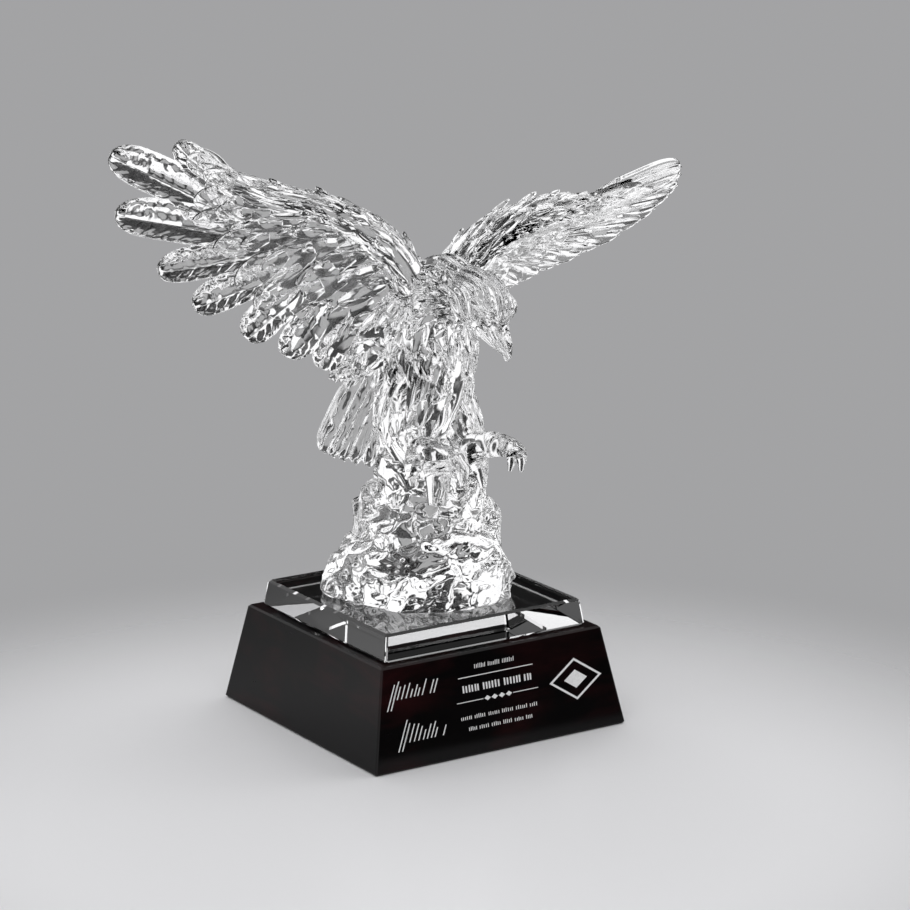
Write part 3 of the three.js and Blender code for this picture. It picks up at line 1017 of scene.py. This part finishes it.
def new_material(name):
    """A material with an empty node tree but for its output and its shader."""
    material = bpy.data.materials.new(name)
    material.use_nodes = True
    tree = material.node_tree
    return material, tree, tree.nodes["Principled BSDF"]


def put(tree, kind, **values):
    """A new node with these properties or input values."""
    node = tree.nodes.new(kind)
    for key, value in values.items():
        if hasattr(node, key):
            setattr(node, key, value)
        else:
            node.inputs[key].default_value = value
    return node


def clear_glass(name):
    """A clear material: no colour, no roughness, full transmission and an index of 1.5."""
    material, tree, shader = new_material(name)
    shader.inputs["Base Color"].default_value = (1.0, 1.0, 1.0, 1)
    shader.inputs["Roughness"].default_value = 0.0
    shader.inputs["IOR"].default_value = 1.5
    shader.inputs["Transmission Weight"].default_value = 1.0
    return material, tree, shader


# %% Moulded crystal
crystal, tree, shader = clear_glass("clear_crystal")
place = tree.nodes.new("ShaderNodeTexCoord")
ripple = put(tree, "ShaderNodeTexNoise", Scale=140.0, Detail=1.0, Roughness=0.5)
cells = put(tree, "ShaderNodeTexVoronoi", feature="SMOOTH_F1", Scale=130.0)
bump_a = put(tree, "ShaderNodeBump", Strength=0.1, Distance=0.0006)
bump_b = put(tree, "ShaderNodeBump", Strength=0.12, Distance=0.0008)
link = tree.links.new
link(place.outputs["Object"], ripple.inputs["Vector"])
link(place.outputs["Object"], cells.inputs["Vector"])
link(ripple.outputs["Fac"], bump_a.inputs["Height"])
link(cells.outputs["Distance"], bump_b.inputs["Height"])
link(bump_a.outputs["Normal"], bump_b.inputs["Normal"])
link(bump_b.outputs["Normal"], shader.inputs["Normal"])
print("crystal nodes", len(tree.nodes))

# %% Polished plate
clear, tree, shader = clear_glass("polished_crystal")
place = tree.nodes.new("ShaderNodeTexCoord")
ripple = put(tree, "ShaderNodeTexNoise", Scale=60.0, Detail=2.0)
bump = put(tree, "ShaderNodeBump", Strength=0.02, Distance=0.0005)
link = tree.links.new
link(place.outputs["Object"], ripple.inputs["Vector"])
link(ripple.outputs["Fac"], bump.inputs["Height"])
link(bump.outputs["Normal"], shader.inputs["Normal"])
print("plate nodes", len(tree.nodes))

# %% [markdown]
# ## Lacquered rosewood
# The wood is almost black under a gloss lacquer, with dark red patches and a fine grain along the
# block. Two noises are multiplied, a stretched one for the grain and a broad one for the patches,
# and a ramp turns the product into black or red. A thin coat gives the gloss.

# %% Lacquered rosewood
lacquer, tree, shader = new_material("lacquered_rosewood")
link = tree.links.new
place = tree.nodes.new("ShaderNodeTexCoord")
stretch = put(tree, "ShaderNodeMapping")
stretch.inputs["Scale"].default_value = (14, 14, 60)
grain = put(tree, "ShaderNodeTexNoise", Scale=1.0, Detail=6.0, Roughness=0.6, Distortion=1.2)
patches = put(tree, "ShaderNodeTexNoise", Scale=22.0, Detail=2.0)
mix = put(tree, "ShaderNodeMath", operation="MULTIPLY")
ramp = tree.nodes.new("ShaderNodeValToRGB")
ramp.color_ramp.elements[0].position = 0.24
ramp.color_ramp.elements[0].color = (0.0012, 0.0009, 0.001, 1)
ramp.color_ramp.elements[1].position = 0.5
ramp.color_ramp.elements[1].color = (0.016, 0.0025, 0.003, 1)
gloss = put(tree, "ShaderNodeMapRange")
gloss.inputs["To Min"].default_value = 0.22
gloss.inputs["To Max"].default_value = 0.38
waves = put(tree, "ShaderNodeTexNoise", Scale=240.0, Detail=2.0)
bump = put(tree, "ShaderNodeBump", Strength=0.03, Distance=0.0005)
link(place.outputs["Object"], stretch.inputs["Vector"])
link(stretch.outputs["Vector"], grain.inputs["Vector"])
link(place.outputs["Object"], patches.inputs["Vector"])
link(place.outputs["Object"], waves.inputs["Vector"])
link(grain.outputs["Fac"], mix.inputs[0])
link(patches.outputs["Fac"], mix.inputs[1])
link(mix.outputs["Value"], ramp.inputs["Fac"])
link(ramp.outputs["Color"], shader.inputs["Base Color"])
link(grain.outputs["Fac"], gloss.inputs["Value"])
link(gloss.outputs["Result"], shader.inputs["Roughness"])
link(waves.outputs["Fac"], bump.inputs["Height"])
link(bump.outputs["Normal"], shader.inputs["Normal"])
shader.inputs["Coat Weight"].default_value = 0.3
shader.inputs["Coat Roughness"].default_value = 0.04
shader.inputs["Specular IOR Level"].default_value = 0.05
print("lacquer nodes", len(tree.nodes))

# %% [markdown]
# ## White fill
# The strokes are filled with matt white paint, a little uneven in tone and grain.

# %% White fill of the rows
fill, tree, shader = new_material("white_fill")
link = tree.links.new
place = tree.nodes.new("ShaderNodeTexCoord")
speck = put(tree, "ShaderNodeTexNoise", Scale=900.0, Detail=3.0)
ramp = tree.nodes.new("ShaderNodeValToRGB")
ramp.color_ramp.elements[0].color = (0.62, 0.62, 0.62, 1)
ramp.color_ramp.elements[1].color = (0.9, 0.9, 0.9, 1)
bump = put(tree, "ShaderNodeBump", Strength=0.2, Distance=0.0001)
link(place.outputs["Object"], speck.inputs["Vector"])
link(speck.outputs["Fac"], ramp.inputs["Fac"])
link(ramp.outputs["Color"], shader.inputs["Base Color"])
link(speck.outputs["Fac"], bump.inputs["Height"])
link(bump.outputs["Normal"], shader.inputs["Normal"])
shader.inputs["Roughness"].default_value = 0.45
print("fill nodes", len(tree.nodes))

# %% [markdown]
# ## Put the pieces together
# Three pieces stand in for the plain solids of the model, and the rows are added to the block.
# All ride on the one body, because nothing on the object moves.

# %% Materials and the body
figure.data.materials.clear()
figure.data.materials.append(crystal)
plate.data.materials.append(clear)
rows.data.materials.append(fill)
block.data.materials.append(lacquer)
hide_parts("eagle_on_rock")
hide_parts("crystal_plate")
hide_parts("wood_block")
for piece, slot in ((figure, "crystal"), (plate, "plate_crystal"), (block, "lacquered_wood"),
                    (rows, "lacquered_wood")):
    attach(piece, "root")
print("pieces", [piece.name for piece in (figure, plate, block, rows)])

# %% [markdown]
# ## Camera, floor and studio light
# The camera stands where the photograph was taken from, looking a little down on the block.

# %% Camera
view_from = np.array([-0.8802, -1.3773, 0.5491])
view_to = np.array([0.0113, -0.0133, 0.1368])
camera_data = bpy.data.cameras.new("camera")
camera = bpy.data.objects.new("camera", camera_data)
bpy.context.scene.collection.objects.link(camera)
camera_data.sensor_width = 36
camera_data.lens = 131.58
camera_data.clip_end = 50
ahead = unit_rows(view_to - view_from)
right = unit_rows(np.cross(ahead, [0, 0, 1]))
up = np.cross(right, ahead)
matrix = np.eye(4)
matrix[:3, 0], matrix[:3, 1], matrix[:3, 2], matrix[:3, 3] = right, up, -ahead, view_from
camera.matrix_world = Matrix(matrix.tolist())
bpy.context.scene.camera = camera
print("camera at", view_from.tolist(), "lens", camera_data.lens)

# %% [markdown]
# The floor is a pale disc a hair under the block, and fades out into the grey backdrop. The fade
# is a mix with a transparent shader, by the distance from a fixed point of the floor.

# %% Floor
spokes, reach, floor_level = 96, 0.7, -0.0002
spoke = np.arange(spokes)
angle = spoke / spokes * 2 * np.pi
disc = np.column_stack([reach * np.cos(angle), reach * np.sin(angle), np.full(spokes, floor_level)])
floor_points = np.concatenate([disc, [[0, 0, floor_level]]])
fans = np.stack([spoke, (spoke + 1) % spokes, np.full(spokes, spokes)], -1)
floor = new_mesh("floor", floor_points, fans)
pale, tree, shader = new_material("pale_floor")
link = tree.links.new
shader.inputs["Base Color"].default_value = (0.8, 0.8, 0.81, 1)
shader.inputs["Roughness"].default_value = 0.35
place = tree.nodes.new("ShaderNodeTexCoord")
from_middle = put(tree, "ShaderNodeMapping")
from_middle.inputs["Location"].default_value = (0.08, 0.12, 0)
far_off = put(tree, "ShaderNodeVectorMath", operation="LENGTH")
fade = put(tree, "ShaderNodeMapRange", interpolation_type="SMOOTHSTEP")
fade.inputs["From Min"].default_value = 0.17
fade.inputs["From Max"].default_value = 0.42
through = tree.nodes.new("ShaderNodeBsdfTransparent")
blend = tree.nodes.new("ShaderNodeMixShader")
link(place.outputs["Object"], from_middle.inputs["Vector"])
link(from_middle.outputs["Vector"], far_off.inputs[0])
link(far_off.outputs["Value"], fade.inputs["Value"])
link(fade.outputs["Result"], blend.inputs["Fac"])
link(shader.outputs["BSDF"], blend.inputs[1])
link(through.outputs["BSDF"], blend.inputs[2])
link(blend.outputs["Shader"], tree.nodes["Material Output"].inputs["Surface"])
floor.data.materials.append(pale)
print("floor reach", reach)

# %% [markdown]
# Crystal has no colour of its own: it is made visible by what stands round it. It sees a bright
# plain studio with round dark flags in it, and two grey ones straight before and behind it, as
# bright as the backdrop. A row gives a flag's azimuth, elevation, half angle, soft edge and
# brightness. The camera itself sees the plain backdrop.

# %% Studio
backdrop_grey = 0.366
studio_grey = 1.12
flags = [
    (147, -7, 20, 3, 0.02),
    (147, 20, 14, 3, 0.02),
    (92, 0, 12, 4, 0.02),
    (202, 0, 12, 4, 0.02),
    (-33, -9, 21, 3, 0.02),
    (-33, 20, 12, 4, 0.05),
    (-90, -5, 12, 4, 0.02),
    (30, -8, 14, 4, 0.02),
    (-33, -12, 8, 2, backdrop_grey),
    (147, -14, 9, 2, backdrop_grey),
    (-147, 14, 18, 5, 0.1),
    (33, 14, 22, 5, 0.01),
    (-90, 55, 14, 6, 0.02),
    (30, 60, 14, 6, 0.02),
]
world = bpy.data.worlds.new("studio")
bpy.context.scene.world = world
world.use_nodes = True
tree = world.node_tree
link = tree.links.new
place = tree.nodes.new("ShaderNodeTexCoord")
way = put(tree, "ShaderNodeVectorMath", operation="NORMALIZE")
link(place.outputs["Generated"], way.inputs[0])
level = put(tree, "ShaderNodeValue")
level.outputs[0].default_value = studio_grey
for azimuth, elevation, half, soft, bright in flags:
    a, e = np.radians(azimuth), np.radians(elevation)
    towards = (np.sin(a) * np.cos(e), -np.cos(a) * np.cos(e), np.sin(e))
    dot = put(tree, "ShaderNodeVectorMath", operation="DOT_PRODUCT")
    dot.inputs[1].default_value = towards
    inside = put(tree, "ShaderNodeMapRange", interpolation_type="SMOOTHSTEP")
    inside.inputs["From Min"].default_value = np.cos(np.radians(half + soft))
    inside.inputs["From Max"].default_value = np.cos(np.radians(half - soft))
    mix = put(tree, "ShaderNodeMix")
    link(way.outputs[0], dot.inputs[0])
    link(dot.outputs["Value"], inside.inputs["Value"])
    link(inside.outputs["Result"], mix.inputs["Factor"])
    link(level.outputs[0], mix.inputs["A"])
    mix.inputs["B"].default_value = bright
    level = mix
sky = tree.nodes["Background"]
link(level.outputs[0], sky.inputs["Strength"])
sky.inputs["Color"].default_value = (1, 1, 1.01, 1)
plain = tree.nodes.new("ShaderNodeBackground")
plain.inputs["Color"].default_value = (backdrop_grey, backdrop_grey, backdrop_grey * 1.02, 1)
path = tree.nodes.new("ShaderNodeLightPath")
choose = tree.nodes.new("ShaderNodeMixShader")
link(path.outputs["Is Camera Ray"], choose.inputs["Fac"])
link(sky.outputs["Background"], choose.inputs[1])
link(plain.outputs["Background"], choose.inputs[2])
link(choose.outputs["Shader"], tree.nodes["World Output"].inputs["Surface"])
print("flags", len(flags))

# %% [markdown]
# Two soft lamps light the wood, the white strokes and the floor.

# %% Soft lamps


def soft_lamp(name, place, size, power):
    """A square soft lamp that faces the figure."""
    data = bpy.data.lights.new(name, "AREA")
    data.size = size
    data.energy = power
    lamp = bpy.data.objects.new(name, data)
    bpy.context.scene.collection.objects.link(lamp)
    aim = unit_rows(np.array([0, 0, 0.15]) - np.array(place))
    sideways = unit_rows(np.cross(aim, [0.01, 0.02, 1]))
    upward = np.cross(sideways, aim)
    turn = np.eye(4)
    turn[:3, 0], turn[:3, 1], turn[:3, 2], turn[:3, 3] = sideways, upward, -aim, place
    lamp.matrix_world = Matrix(turn.tolist())


soft_lamp("key_lamp", (-0.9, -0.7, 1.4), 0.7, 3)
soft_lamp("side_lamp", (1.2, -0.2, 0.9), 0.5, 1.5)
print("lamps", len(bpy.data.lights))
bpy.context.scene.view_settings.view_transform = "Standard"
